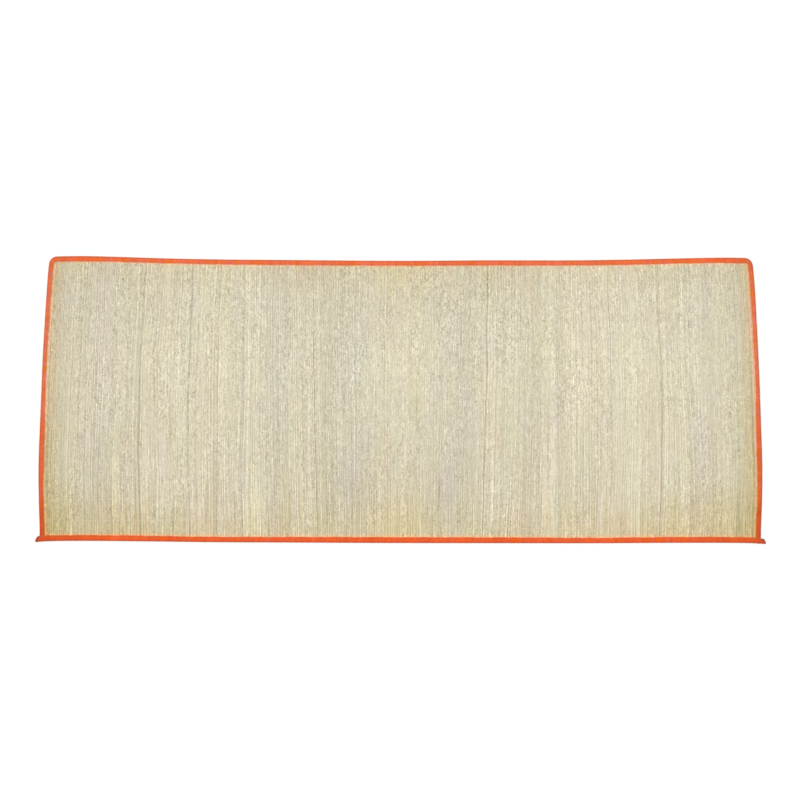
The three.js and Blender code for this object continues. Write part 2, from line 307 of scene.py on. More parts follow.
def add_piece(name, points, faces, material, maps, attributes):
    """One smooth-shaded piece from points in millimetres, faces of four corners and a map of corners."""
    mesh = bpy.data.meshes.new(name)
    mesh.from_pydata((points * MM).tolist(), [], faces.tolist())
    layer = mesh.uv_layers.new(name="OFBake")
    layer.data.foreach_set("uv", np.ascontiguousarray(maps, np.float32).ravel())
    for label, (kind, values) in attributes.items():
        layer = mesh.attributes.new(label, kind, "POINT")
        key = "color" if kind == "FLOAT_COLOR" else "vector"
        layer.data.foreach_set(key, np.ascontiguousarray(values, np.float32).ravel())
    mesh.polygons.foreach_set("use_smooth", np.ones(len(mesh.polygons), bool))
    mesh.materials.append(material)
    mesh.update()
    piece = bpy.data.objects.new(name, mesh)
    bpy.context.scene.collection.objects.link(piece)
    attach(piece, "root")
    return piece


def tube_faces(tubes, rings, sides):
    """Faces of closed tubes laid out as tubes, rings and sides, with their ends closed by quads."""
    t = np.arange(tubes)[:, None, None]
    r = np.arange(rings - 1)[None, :, None]
    k = np.arange(sides)[None, None, :]
    start = (t * rings + r) * sides
    turn = (k + 1) % sides
    walls = np.stack([start + k, start + turn, start + sides + turn, start + sides + k], -1)
    walls = walls.reshape(-1, 4)
    ends = []
    base = (np.arange(tubes) * rings * sides)[:, None]
    far = base + (rings - 1) * sides
    for low in range(sides // 2 - 1):
        quad = np.array([low, low + 1, sides - 2 - low, sides - 1 - low])
        ends.append(far + quad)
        ends.append(base + quad[::-1])
    return walls, np.concatenate(ends)


def outward(points, faces):
    """Whether the faces point outward; false if the body is inside out."""
    a, b, c, d = (points[faces[:, i]] for i in range(4))
    volume = (a * np.cross(b, c)).sum() + (a * np.cross(c, d)).sum()
    return volume > 0


def add_tubes(name, points, material, tile, colours, places):
    """Closed tubes from points given by tube, ring, side and axis. tile gives each tube's corner of the
    map by tube and ring: its left end, its width, and its height there."""
    tubes, rings, sides = points.shape[:3]
    walls, ends = tube_faces(tubes, rings, sides)
    flat = points.reshape(-1, 3)
    left, width, height = tile
    k = np.arange(sides)
    low, high = height[:, :-1, None], height[:, 1:, None]
    u0 = left[:, :-1, None] + width * (k / sides)
    u1 = left[:, :-1, None] + width * ((k + 1) / sides)
    corners = [stacked(*pair) for pair in ((u0, low), (u1, low), (u1, high), (u0, high))]
    corners = np.stack(corners, 3).reshape(-1, 4, 2)
    tube = ends[:, 0] // (rings * sides)
    spots = np.stack([left[tube, 0], height[tube, 0]], -1)
    nudge = np.array([[0, 0], [1, 0], [1, 1], [0, 1]]) * (width * 0.1)
    end_corners = spots[:, None, :] + nudge[None]
    faces = np.concatenate([walls, ends])
    maps = np.concatenate([corners, end_corners])
    if not outward(flat, faces):
        faces, maps = faces[:, ::-1], maps[:, ::-1]
    attributes = {"place": ("FLOAT_VECTOR", places.reshape(-1, 3))}
    if colours is not None:
        shade = colours.reshape(-1, colours.shape[-1])
        if shade.shape[1] == 3:
            shade = np.concatenate([shade, np.ones((len(shade), 1))], 1)
        attributes["shade"] = ("FLOAT_COLOR", shade)
    return add_piece(name, flat, faces, material, maps, attributes)


# Materials


def new_group(name, inputs, outputs):
    group = bpy.data.node_groups.new(name, "ShaderNodeTree")
    for label, kind, value in inputs:
        socket = group.interface.new_socket(label, in_out="INPUT", socket_type=kind)
        if value is not None:
            socket.default_value = value
    for label, kind in outputs:
        group.interface.new_socket(label, in_out="OUTPUT", socket_type=kind)
    return group, group.nodes.new("NodeGroupInput"), group.nodes.new("NodeGroupOutput")


def fill(tree, made, values):
    """Fills a node's inputs. A socket is linked, and anything else becomes the input's own value."""
    for label, value in values.items():
        if isinstance(value, bpy.types.NodeSocket):
            tree.links.new(value, made.inputs[label])
        else:
            made.inputs[label].default_value = value


def node(tree, kind, values, **settings):
    made = tree.nodes.new(kind)
    for label, value in settings.items():
        setattr(made, label, value)
    fill(tree, made, values)
    return made


def maths(tree, operation, a, b=0.0, c=0.0):
    return node(tree, "ShaderNodeMath", {0: a, 1: b, 2: c}, operation=operation).outputs[0]


def combine(tree, x, y, z):
    return node(tree, "ShaderNodeCombineXYZ", {0: x, 1: y, 2: z}).outputs[0]


def noise(tree, vector, scale, detail, roughness):
    values = {"Vector": vector, "Scale": scale, "Detail": detail, "Roughness": roughness}
    return node(tree, "ShaderNodeTexNoise", values).outputs["Fac"]


def ramp(tree, value, low, high, out_low=0.0, out_high=1.0):
    values = {"Value": value, "From Min": low, "From Max": high, "To Min": out_low, "To Max": out_high}
    return node(tree, "ShaderNodeMapRange", values, interpolation_type="SMOOTHSTEP").outputs[0]


def streak_group():
    """Short streaks along a stem that differ from stem to stem: quick changes of tone, flecks and ribs."""
    group, enter, leave = new_group(
        "rush_streaks",
        [("Place", "NodeSocketVector", None), ("Quick", "NodeSocketFloat", 1.0)],
        [("Tone", "NodeSocketColor"), ("Warmth", "NodeSocketFloat"), ("Ribs", "NodeSocketFloat")],
    )
    stem, along, around = node(group, "ShaderNodeSeparateXYZ", {0: enter.outputs["Place"]}).outputs
    stem_far = maths(group, "MULTIPLY", stem, 19.7)

    def streaks(per_metre, detail, roughness, shift):
        across = maths(group, "ADD", stem_far, shift)
        vector = combine(group, across, maths(group, "MULTIPLY", along, per_metre), shift * 1.7)
        return noise(group, vector, 1.0, detail, roughness)

    lively = enter.outputs["Quick"]
    quick = maths(group, "SUBTRACT", streaks(75.0, 3.0, 0.95, 23.9), 0.5)
    fleck = ramp(group, streaks(190.0, 1.0, 0.5, 77.7), 0.64, 0.74, 0.0, -0.16)
    quick, fleck = (maths(group, "MULTIPLY", value, lively) for value in (quick, fleck))
    change = maths(group, "ADD", quick, fleck)
    tone = maths(group, "MAXIMUM", maths(group, "ADD", change, 1.0), 0.2)
    tone = combine(group, *(maths(group, "POWER", tone, power) for power in TONE_POWERS))
    warmth = streaks(22.0, 2.0, 0.5, 41.3)
    rib_around, rib_along = maths(group, "MULTIPLY", around, 5.0), maths(group, "MULTIPLY", along, 35.0)
    ribs = noise(group, combine(group, rib_around, rib_along, stem_far), 2.2, 3.0, 0.6)
    fill(group, leave, {"Tone": tone, "Warmth": warmth, "Ribs": ribs})
    return group


def weave_group():
    """Plain cloth weave of crossing yarns, from places along and across the cloth in metres."""
    group, enter, leave = new_group(
        "cloth_weave",
        [("Place", "NodeSocketVector", None), ("Yarns per metre", "NodeSocketFloat", 1100.0)],
        [("Height", "NodeSocketFloat"), ("Unevenness", "NodeSocketFloat")],
    )
    split = node(group, "ShaderNodeSeparateXYZ", {0: enter.outputs["Place"]})
    turns = maths(group, "MULTIPLY", enter.outputs["Yarns per metre"], math.pi)
    along = maths(group, "MULTIPLY", split.outputs[0], turns)
    across = maths(group, "MULTIPLY", split.outputs[1], turns)
    over = maths(group, "MULTIPLY", maths(group, "SINE", along), maths(group, "SINE", across))
    soft = noise(group, enter.outputs["Place"], 160.0, 4.0, 0.6)
    fill(group, leave, {"Height": maths(group, "ABSOLUTE", over), "Unevenness": soft})
    return group


def blotch_group():
    """Soft blotches of handling and fading, from a place in metres."""
    group, enter, leave = new_group(
        "soft_blotches",
        [
            ("Place", "NodeSocketVector", None),
            ("Scale", "NodeSocketFloat", 20.0),
            ("Amount", "NodeSocketFloat", 0.1),
        ],
        [("Tone", "NodeSocketFloat")],
    )
    cloud = noise(group, enter.outputs["Place"], enter.outputs["Scale"], 4.0, 0.6)
    centred = maths(group, "SUBTRACT", cloud, 0.5)
    fill(group, leave, {"Tone": maths(group, "MULTIPLY_ADD", centred, enter.outputs["Amount"], 1.0)})
    return group


def place_group(tree, group, values):
    made = tree.nodes.new("ShaderNodeGroup")
    made.node_tree = group
    fill(tree, made, values)
    return made.outputs


def new_material(name):
    material = bpy.data.materials.new(name)
    material.use_nodes = True
    tree = material.node_tree
    return material, tree, tree.nodes["Principled BSDF"]


def scaled(tree, colour, *painted_shading):
    """Multiplies a colour by each tone."""
    for tone in painted_shading:
        colour = node(tree, "ShaderNodeVectorMath", {0: colour, 1: tone}, operation="MULTIPLY").outputs[0]
    return colour


def attribute(tree, name, output):
    made = node(tree, "ShaderNodeAttribute", {}, attribute_name=name, attribute_type="GEOMETRY")
    return made.outputs[output]


def grey(tree, value):
    return combine(tree, value, value, value)


def bump(tree, height, strength, distance):
    values = {"Height": height, "Strength": strength, "Distance": distance}
    return node(tree, "ShaderNodeBump", values).outputs[0]


def rush_material(streaks):
    material, tree, shader = new_material("dried_rush")
    place = attribute(tree, "place", "Vector")
    shade = attribute(tree, "shade", "Color")
    lively = attribute(tree, "shade", "Alpha")
    quick = maths(tree, "MULTIPLY", lively, 1.42)
    tone, warmth, ribs = place_group(tree, streaks, {"Place": place, "Quick": quick})
    red, blue = ramp(tree, warmth, 0.3, 0.7, 0.996, 1.004), ramp(tree, warmth, 0.35, 0.65, 1.012, 0.985)
    finish = {
        "Base Color": scaled(tree, shade, tone, combine(tree, red, 1.0, blue)),
        "Roughness": ramp(tree, ribs, 0.3, 0.7, 0.45, 0.66),
        "Normal": bump(tree, ribs, 0.5, 0.00025),
        "Specular IOR Level": 0.3,
    }
    fill(tree, shader, finish)
    return material


def tape_material(weave, blotches):
    """The tape's place is along it and round its section from the lower inner edge, in metres, and 0."""
    material, tree, shader = new_material("orange_cotton_tape")
    place = attribute(tree, "place", "Vector")
    # The shade attribute holds the tape's dye changes and pale fringe, with painted shade at the fold, near
    # the inner edges and in the open tails
    tape_changes = attribute(tree, "shade", "Color")
    height, uneven = place_group(tree, weave, {"Place": place, "Yarns per metre": 1250.0})
    tone = place_group(tree, blotches, {"Place": place, "Scale": 26.0, "Amount": 0.22})[0]
    fine = ramp(tree, uneven, 0.3, 0.7, 0.9, 1.1)
    # Painted shade: the cloth is darker in the hollows between yarns, where the weave's bump is lowest
    weave_shade = ramp(tree, height, 0.0, 0.8, 0.93, 1.03)
    finish = {
        "Base Color": scaled(tree, TAPE_COLOUR, tape_changes, grey(tree, tone), grey(tree, fine), grey(tree, weave_shade)),
        "Roughness": ramp(tree, uneven, 0.3, 0.7, 0.72, 0.9),
        "Normal": bump(tree, height, 0.35, 0.0002),
        "Sheen Weight": 0.12,
        "Sheen Roughness": 0.6,
        "Specular IOR Level": 0.2,
    }
    fill(tree, shader, finish)
    return material


def yarn_material(name, colour, blotches, turns):
    """Twisted sewing or tying thread. Its place is along it, round it, and a number of its own."""
    material, tree, shader = new_material(name)
    place = attribute(tree, "place", "Vector")
    split = node(tree, "ShaderNodeSeparateXYZ", {0: place})
    around = maths(tree, "MULTIPLY", split.outputs[1], 2 * math.pi)
    wind = maths(tree, "MULTIPLY_ADD", split.outputs[0], turns, around)
    twist = maths(tree, "SINE", wind)
    tone = place_group(tree, blotches, {"Place": place, "Scale": 60.0, "Amount": 0.25})[0]
    # Painted shade: the thread is darker in the grooves of its twist, where the bump is lowest
    ply_shade = ramp(tree, twist, -1.0, 1.0, 0.9, 1.04)
    finish = {
        "Base Color": scaled(tree, colour, grey(tree, tone), grey(tree, ply_shade)),
        "Roughness": ramp(tree, twist, -1.0, 1.0, 0.9, 0.72),
        "Normal": bump(tree, twist, 0.4, 0.0001),
        "Specular IOR Level": 0.25,
    }
    fill(tree, shader, finish)
    return material


def floor_material(blotches):
    material, tree, shader = new_material("pale_floor")
    place = node(tree, "ShaderNodeTexCoord", {}).outputs["Object"]
    tone = place_group(tree, blotches, {"Place": place, "Scale": 0.6, "Amount": 0.015})[0]
    colour = scaled(tree, (0.93, 0.93, 0.93), grey(tree, tone))
    fill(tree, shader, {"Base Color": colour, "Roughness": 0.9, "Specular IOR Level": 0.1})
    return material


# The woven panel


def stem_layout():
    """Places of the stems across the mat, as shares of its width, with the stems' widths."""
    left, right = -898.0, 898.0
    count = int(round((right - left) / STEM_PITCH))
    widths = STEM_PITCH * np.clip(1 + 0.24 * dice.standard_normal(count), 0.62, 1.5)
    edges = np.concatenate([[0], np.cumsum(widths)])
    scale = (right - left) / edges[-1]
    middles = left + scale * (edges[:-1] + edges[1:]) / 2
    return middles, widths * scale


def stem_rings():
    """The rows of threads, and the rings of a stem between the tapes, four to a row."""
    rows = np.sort(np.array(THREAD_ROWS))
    between = np.concatenate([rows[:-1] + np.diff(rows) / 2, [rows[-1] + 20]])
    return rows, np.sort(np.concatenate([rows - 5, rows, rows + 5, between]))


def sway_at(x, y):
    """Sideways drift that neighbouring stems share. They follow the furrows, and wave more high up."""
    outs, leans = (column(FURROWS, FURROW_COLUMNS, name) for name in ("out", "lean"))
    drift = np.interp(np.abs(x), [0, *outs, 898], [0, *leans, 0]) * y
    for out, _, sway, turn, *_ in FURROWS:
        near = np.exp(-(((np.abs(x) - out) / 30) ** 2))
        drift += near * sway * np.sin(y / 95 + turn)
    drift *= np.sign(x)
    lively = 0.35 + 0.5 * ease((y + 120) / 300)
    waves = np.sin(y / 29 + 2.6 * np.sin(x / 61)) + 0.7 * np.sin(y / 47 - 2.1 * np.sin(x / 43 + 1))
    return drift + lively * waves


def patch_shift(x, y):
    """The red, green and blue shares of the broad colour patches at each place."""
    shift = np.ones(x.shape + (3,))
    y = y + 34 * soft_field(x, 0 * y, 8, 900, 31) + 14 * soft_field(x, 0 * y, 3, 900, 32)
    for row in PATCHES:
        patch = dict(zip(PATCH_COLUMNS, row))
        tint = np.array([patch["red"], patch["green"], patch["blue"]]) / 100
        down = ((y - patch["y"]) / patch["half_y"]) ** 2
        for side in (1, -1) if patch["x"] < 0 else (1,):
            reach = ((x - side * patch["x"]) / patch["half_x"]) ** 2 + down
            shift += np.exp(-reach)[..., None] * tint
    return shift


def own_tones(count, y, step, apart):
    """Random tones that each stem has along its length, changing over the step given. Neighbours differ
    the more, the larger apart is."""
    grid = dice.standard_normal((count + 2, int(800 / step) + 3))
    grid = (grid[1:-1] - apart * (grid[:-2] + grid[2:])) / math.sqrt(1 + 2 * apart**2)
    shift = dice.random(count)[:, None]
    along = (y + 400) / step + shift
    j = np.minimum(along.astype(int), grid.shape[1] - 2)
    t = ease(along - j)
    stems = np.arange(count)[:, None]
    return grid[stems, j] * (1 - t) + grid[stems, j + 1] * t


def stem_colours(x, y):
    """Colours of the stems at each ring: each stem's own tone and kind, and tints that neighbours share."""
    count = len(x)
    own = sum(share * own_tones(count, y, step, apart) for share, step, apart in OWN_TONES)
    tone = 1 + np.interp(y, *zip(*STREAK_STRENGTH)) * own
    for out, *_ in FURROWS:
        for side in (-1, 1):
            deepest = int(np.argmin(np.abs(x[:, 8] - side * out)))
            tone[deepest] = 1 + 0.3 * (tone[deepest] - 1)
    for place, half, paler in PALE_BUNDLES:
        tone += paler * np.exp(-(((np.abs(x) - place) / half) ** 4))
    kind = dice.random((count, 1, 1))
    colour = np.array(RUSH_COLOUR) * tone[..., None] ** np.array(TONE_POWERS)
    for above, below, tint in STEM_KINDS:
        colour = np.where((kind >= above) & (kind < below), colour * tint, colour)
    pink = soft_field(x, y, 13, 95, 21) + 0.8 * soft_field(x, y, 38, 150, 22)
    straw = soft_field(x, y, 16, 110, 23) + 0.8 * soft_field(x, y, 45, 130, 24)
    colour = colour * np.stack([1 + 0.010 * pink, 1 - 0.010 * pink, 1 - 0.032 * straw], -1)
    lively = 0.85 + 0.35 * soft_field(x, y, 30, 140, 25) + 0.25 * soft_field(x, y, 9, 60, 26)
    lively = np.clip(lively + 0.15 * ease((y + 150) / 300), 0.3, 1.4)
    return np.concatenate([np.clip(colour * patch_shift(x, y), 0.02, 0.97), lively[..., None]], -1)


def panel_sides(y):
    """Where the outermost stems lie at each height, inside the fold of the side tapes."""
    return read_edge(LEFT_EDGE, "out", y) + 2.2, read_edge(RIGHT_EDGE, "out", y) - 2.2


def stem_feet(share):
    """Heights where the stems begin, inside the fold of the bottom tape, and where they come out of it."""
    left, right = panel_sides(-352.0)
    x = left + (right - left) * share
    fold = read_edge(BOTTOM_EDGE, "out", x)
    return fold + BORDER_INSET + 0.8, fold + read_edge(BOTTOM_EDGE, "width", x)


def stem_heads(share):
    """Heights where the stems end, inside the fold of the top tape and its round corners, and where
    they go under it."""
    left, right = panel_sides(345.0)
    x = left + (right - left) * share
    fold = read_edge(TOP_EDGE, "out", x)
    wide = read_edge(TOP_EDGE, "width", x)
    end, inner = fold - BORDER_INSET - 0.8, fold - wide
    for table, out in ((LEFT_EDGE, -1), (RIGHT_EDGE, 1)):
        centre_x, centre_y = corner_centre(table, out)
        past = np.maximum(out * (x - centre_x), 0)
        reaches = (CORNER_RADIUS - 2.0, CORNER_RADIUS - wide)
        arcs = [centre_y + np.sqrt(np.maximum(reach**2 - past**2, 0)) for reach in reaches]
        end, inner = (np.where(past > 0, arc, flat) for arc, flat in zip(arcs, (end, inner)))
    return end, inner


def stem_shapes():
    """Every stem's points by stem, ring, side and axis, with its colours and places."""
    middles, widths = stem_layout()
    count = len(middles)
    rows, inner = stem_rings()
    share = ((middles + 898) / 1796)[:, None]
    bottom, low_inner = stem_feet(share[:, 0])
    top, high_inner = stem_heads(share[:, 0])
    first = (bottom, low_inner - 1.0, low_inner + 2.8, low_inner + 7.5)
    last = (high_inner - 7.5, high_inner - 2.8, np.minimum(high_inner + 1.0, top - 0.5), top)
    y = np.stack([*first, *[np.full(count, v) for v in inner], *last], 1)
    rings = y.shape[1]
    y[:, END_RINGS:-END_RINGS] += 0.8 * np.sin(middles / 83)[:, None]

    left, right = panel_sides(y)
    wobble = 0.15 * dice.standard_normal((count, rings))
    wobble[:, 1:-1] = (wobble[:, :-2] + 2 * wobble[:, 1:-1] + wobble[:, 2:]) / 3
    x = left + (right - left) * share
    fade = ease((x - left) / 25) * ease((right - x) / 25)
    x = x + fade * sway_at(middles[:, None], y) + wobble

    near_row = np.abs(y[:, :, None] - 0.8 * np.sin(middles / 83)[:, None, None] - rows).min(2)
    pinch = np.exp(-((near_row / 3.0) ** 2))
    under_end = np.maximum(1 - ease((y - low_inner[:, None]) / 3), ease((y - high_inner[:, None] + 1) / 3))
    left_width = read_edge(LEFT_EDGE, "width", y)
    right_width = read_edge(RIGHT_EDGE, "width", y)
    under_left = 1 - ease((x - left - left_width) / 3 + 0.5)
    under_right = ease((x - right + right_width) / 3 + 0.5)
    under = np.maximum(under_end, np.maximum(under_left, under_right))

    alternate = np.where(np.arange(count) % 2 == 0, 1.0, -1.0)[:, None]
    full = np.clip(1 + 0.10 * dice.standard_normal((count, 1)), 0.8, 1.15)
    swell = 1 + 0.03 * dice.standard_normal((count, rings))
    half_width = widths[:, None] / 2 * STEM_OVERLAP * (1 - 0.04 * pinch) * swell
    half_height = STEM_HALF_HEIGHT * full * (1 - 0.16 * pinch) * (1 - 0.42 * under)
    rise = alternate * 0.10 * (1 - under) + 0.10 * dice.standard_normal((count, 1)) * (1 - under)
    middle = STEM_MIDDLE + (BORDER_MIDDLE - STEM_MIDDLE) * under + rise * (1 - 0.4 * pinch)

    colour = stem_colours(x, y)
    for out, *_, upper, lower in FURROWS:
        for side in (-1, 1):
            deepest = int(np.argmin(np.abs(middles - side * out)))
            depth = lower + (upper - lower) * ease((y[deepest] + 150) / 300)
            middle[deepest] -= 0.5 * depth * (1 - under[deepest])
            # Painted shadow: the deepest stem of each furrow is also painted darker, the more the deeper the
            # furrow
            shadow = 0.2 + 0.06 * soft_field(x[deepest], y[deepest], 40, 70, 27)
            colour[deepest, :, :3] *= 1 - (depth * shadow)[:, None]
    # No light shows between neighbours, also where one lies deeper
    reach = 1.03 * np.diff(x, axis=0) + 0.3 * np.abs(np.diff(middle, axis=0))
    gap = np.maximum(reach - half_width[:-1] - half_width[1:], 0)
    half_width[:-1] += gap / 2
    half_width[1:] += gap / 2
    # Painted shade in the dip under each row of threads
    colour[..., :3] *= 1 - (pinch * np.interp(y, *zip(*ROW_SHADE)))[..., None]
    wider = wear_at(SIDE_WEAR, y)[..., 3]
    beside = np.minimum(x - left - left_width - wider, right - right_width - wider - x) + 2.2
    from_end = np.minimum(y - low_inner[:, None], high_inner[:, None] - y)
    stained = 1 - np.minimum(ease(from_end / END_REACH), ease(beside / SIDE_REACH))
    colour[..., :3] *= 1 + stained[..., None] * wear_at(TAPE_STAIN, y, STAIN_COLUMNS)

    angle = 2 * math.pi * np.arange(STEM_SIDES) / STEM_SIDES
    height = np.clip(middle[..., None] + half_height[..., None] * np.sin(angle) * 1.1, 0.02, 2.95)
    points = stacked(x[..., None] + half_width[..., None] * np.cos(angle), y[..., None], height)
    apart = dice.random((count, 1, 1)) * 40 + np.arange(count)[:, None, None] * 0.37
    places = stacked(apart, y[..., None] * MM, np.abs(np.arange(STEM_SIDES) / STEM_SIDES - 0.5) * 2)
    shades = np.repeat(colour[:, :, None, :], STEM_SIDES, 2)
    top_of_stem = middle + half_height * 0.95
    foot_of_stem = middle - half_height * 0.95
    return points, shades, places, (x, y, top_of_stem, foot_of_stem, half_width)


def add_panel(material):
    """The stems in runs side by side, each run one piece."""
    points, shades, places, lie = stem_shapes()
    count, rings = points.shape[:2]
    pieces = []
    for number, part in enumerate(np.array_split(np.arange(count), PANEL_RUNS)):
        size = len(part)
        left = np.repeat((np.arange(size) / size)[:, None], rings, 1)
        y = lie[1][part]
        height = (y - y.min()) / (y.max() - y.min()) * 0.996 + 0.002
        name = f"rush_run_{number + 1:02d}"
        tile = (left, 0.93 / size, height)
        piece = add_tubes(name, points[part], material, tile, shades[part], places[part])
        span = float(lie[0][part].max() - lie[0][part].min()) * MM
        flat = (span + STEM_PITCH * MM * 0.9, float((y.max(1) - y.min(1)).mean()) * MM)
        pieces.append((piece, flat))
    return pieces, lie


# The tying threads


def add_threads(material, lie):
    """Two threads to a row. One goes over each stem that the other goes under."""
    x, y, top, foot, half = lie
    rows, inner = stem_rings()
    count = len(x)
    radius = THREAD_RADIUS
    groups = np.array_split(np.arange(len(rows)), 4)
    pieces = []
    for number, group in enumerate(groups):
        tubes, places = [], []
        for row in group:
            ring = END_RINGS + int(np.where(inner == rows[row])[0][0])
            keep = np.arange(5, count - 5)
            for thread in (0, 1):
                over = (keep + thread) % 2 == 0
                level = np.where(over, top[keep, ring] + radius * 0.75, foot[keep, ring] - radius * 0.75)
                level = np.clip(level, radius * 0.8, 3.0)
                span = half[keep, ring] * 0.42
                along = np.stack([x[keep, ring] - span, x[keep, ring] + span], 1).ravel()
                waves = ((610, 0.9, row), (173, 0.35, row * 2.1 + thread), (37, 0.12, row + thread))
                drift = ripple(along, waves)
                aside = y[keep, ring].repeat(2) + (thread - 0.5) * THREAD_SPACING + drift
                spine = np.stack([along, aside, level.repeat(2)], 1)
                ahead = np.gradient(spine, axis=0)
                ahead /= np.linalg.norm(ahead, axis=1)[:, None]
                across = np.array([0, 1.0, 0])
                up = np.cross(ahead, across)
                turn = math.pi / 4 + math.pi / 2 * np.arange(4)
                tubes.append(
                    spine[:, None, :]
                    + radius * np.cos(turn)[None, :, None] * across
                    + radius * np.sin(turn)[None, :, None] * up[:, None, :]
                )
                own = row * 0.31 + thread * 0.17
                places.append(stacked((along * MM)[:, None], np.arange(4) / 4, own))
        points, places = np.stack(tubes), np.stack(places)
        size, rings = points.shape[:2]
        strips = 4
        strip = np.arange(rings) * strips // rings
        share = np.arange(rings) * strips / rings - strip
        left = (np.arange(size)[:, None] * strips + strip[None]) / (size * strips)
        height = np.repeat((share * 0.99)[None], size, 0)
        tile = (left, 0.85 / (size * strips), height)
        name = f"tying_threads_{number + 1}"
        pieces.append(add_tubes(name, points, material, tile, None, places))
    return pieces


# The tapes


def fold_profile(width, low, high, cloth, lower_width=None, dome=0.0):
    """Section of the folded tape as an outer and an inner line of points, from the lower inner
    edge round the fold to the upper inner edge. Columns are the distance out and the height."""
    outer = (high - low) / 2
    middle = (high + low) / 2
    bend = outer + FOLD_INSET

    def leg(reach, share, marks):
        """Places on a leg: one at a share of its length, the others at set distances from its edge."""
        length = max(reach - bend, 0.05)
        return -bend - np.array([length * share, *[max(length - mark, length * share) for mark in marks]])

    under = leg(width if lower_width is None else lower_width, 0.5, (1.3, 0.0))[::-1]
    over = leg(width, 0.42, (4.2, 2.9, 1.6, 0.6, 0.0))
    turn = np.linspace(-math.pi / 2, math.pi / 2, 6)
    rise = dome * np.array([0.35, 0.25, 0.0, -0.35, -0.8, -1.0])
    round_fold = np.stack([np.cos(turn), np.sin(turn)], 1)
    lines = []
    for below, radius, above in ((low, outer, high), (low + cloth, outer - cloth, high - cloth)):
        fold = np.array([-bend, middle]) + radius * round_fold
        lines.append(np.concatenate([stacked(under, below), fold, stacked(over, above + rise)]))
    return lines


def side_path(table, places, out):
    """Points, ways out and widths at heights on a side."""
    x = read_edge(table, "out", places)
    lean = (read_edge(table, "out", places + 2) - read_edge(table, "out", places - 2)) / 4
    normal = np.stack([np.full(len(places), float(out)), -out * lean], 1)
    normal /= np.linalg.norm(normal, axis=1)[:, None]
    return np.stack([x, places], 1), normal, read_edge(table, "width", places)


def end_path(table, places, out):
    """The same on the top or bottom, for places across the mat."""
    points, normal, width = side_path(table, places, out)
    return points[:, ::-1].copy(), normal[:, ::-1].copy(), width


def run_along(points):
    """How far along a line each of its points lies."""
    return np.concatenate([[0], np.cumsum(np.linalg.norm(np.diff(points, axis=0), axis=1))])


def corner_centre(table, out):
    x, y = out * (888 - CORNER_RADIUS), 360 - CORNER_RADIUS
    for _ in range(4):
        x = float(read_edge(table, "out", y)) - out * CORNER_RADIUS
        y = float(read_edge(TOP_EDGE, "out", x)) - CORNER_RADIUS
    return x, y


def corner_path(table, out, steps):
    x, y = corner_centre(table, out)
    _, side_normal, side_width = side_path(table, np.array([y]), out)
    _, top_normal, top_width = end_path(TOP_EDGE, np.array([x]), 1)
    start = math.atan2(side_normal[0, 1], side_normal[0, 0])
    end = math.atan2(top_normal[0, 1], top_normal[0, 0])
    t = np.linspace(0, 1, steps)
    angle = start + (end - start) * t
    normal = np.stack([np.cos(angle), np.sin(angle)], 1)
    return np.array([x, y]) + CORNER_RADIUS * normal, normal, side_width + (top_width - side_width) * t


def spread(start, end):
    """Places along an edge, about TAPE_STEP apart."""
    return np.linspace(start, end, max(2, int(round(abs(end - start) / TAPE_STEP)) + 1))


def upper_path():
    """The fold line up the left side, along the top and down the right side."""
    left_x, left_y = corner_centre(LEFT_EDGE, -1)
    right_x, right_y = corner_centre(RIGHT_EDGE, 1)
    foot_left = float(read_edge(BOTTOM_EDGE, "out", -890)) + BORDER_INSET
    foot_right = float(read_edge(BOTTOM_EDGE, "out", 889)) + BORDER_INSET
    parts = [
        side_path(LEFT_EDGE, spread(foot_left, left_y - 3), -1),
        corner_path(LEFT_EDGE, -1, 16),
        end_path(TOP_EDGE, spread(left_x + 3, right_x - 3), 1),
        [v[::-1] for v in corner_path(RIGHT_EDGE, 1, 16)],
        side_path(RIGHT_EDGE, spread(right_y - 3, foot_right), 1),
    ]
    return [np.concatenate([part[i] for part in parts]) for i in range(3)]


def lower_path():
    ends = column(BOTTOM_EDGE, EDGE_COLUMNS, "along")
    tails = np.linspace(ends[0], ends[4], 14)[:-1], np.linspace(ends[-5], ends[-1], 14)[1:]
    places = np.concatenate([tails[0], spread(ends[4], ends[-5]), tails[1]])
    points, normal, width = end_path(BOTTOM_EDGE, places, -1)
    normal[:] = (0, -1)
    return points, normal, width


def tape_rings(path, sections):
    """The points of a folded tape, by place on its path, place round its section and axis."""
    rings = []
    for point, normal, (outer, inner) in zip(*path[:2], sections):
        ring = np.concatenate([outer, inner[::-1]])
        rings.append(np.column_stack([point + normal * ring[:, :1], ring[:, 1]]))
    return np.array(rings)


def sewn_tape(name, solid, path, sections, material, rows, shades):
    """A folded tape with one section to a place on its path, in the place of a solid. rows is how
    many rows its map is folded into."""
    rings = tape_rings(path, sections)[None]
    run = run_along(path[0])
    along_section = run_along(sections[len(sections) // 2][0])
    across = np.concatenate([along_section, along_section[::-1]])
    places = stacked((run * MM)[:, None], across * MM, 0.0)[None]
    row = np.minimum((run / run[-1] * rows).astype(int), rows - 1)
    share = run / run[-1] * rows - row
    left = (row / rows)[None]
    height = (share * 0.985 + 0.005)[None]
    tile = (left, 0.95 / rows, height)
    piece = add_tubes(name, rings, material, tile, shades[None], places)
    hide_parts(solid)


# Painted shading across the tape, darker at the fold and near the inner edges and lighter on the middle of
# the upper face, and the tape's paleness, from the lower inner edge round the fold to the upper inner edge
TAPE_PAINTED_SHADING = (0.85, 0.95, 1.0, 0.95, 0.9, 0.8, 0.74, 0.76, 0.8, 1.05, 0.97, 0.88, 0.84, 0.9, 1.0)
TAPE_PALENESS = (0.3, 0.0, 0.0, 0.0, 0.0, 0.04, 0.08, 0.06, 0.03, 0.0, 0.0, 0.06, 0.22, 0.6, 1.0)
PALE_CLOTH = (1.18, 3.1, 6.0)

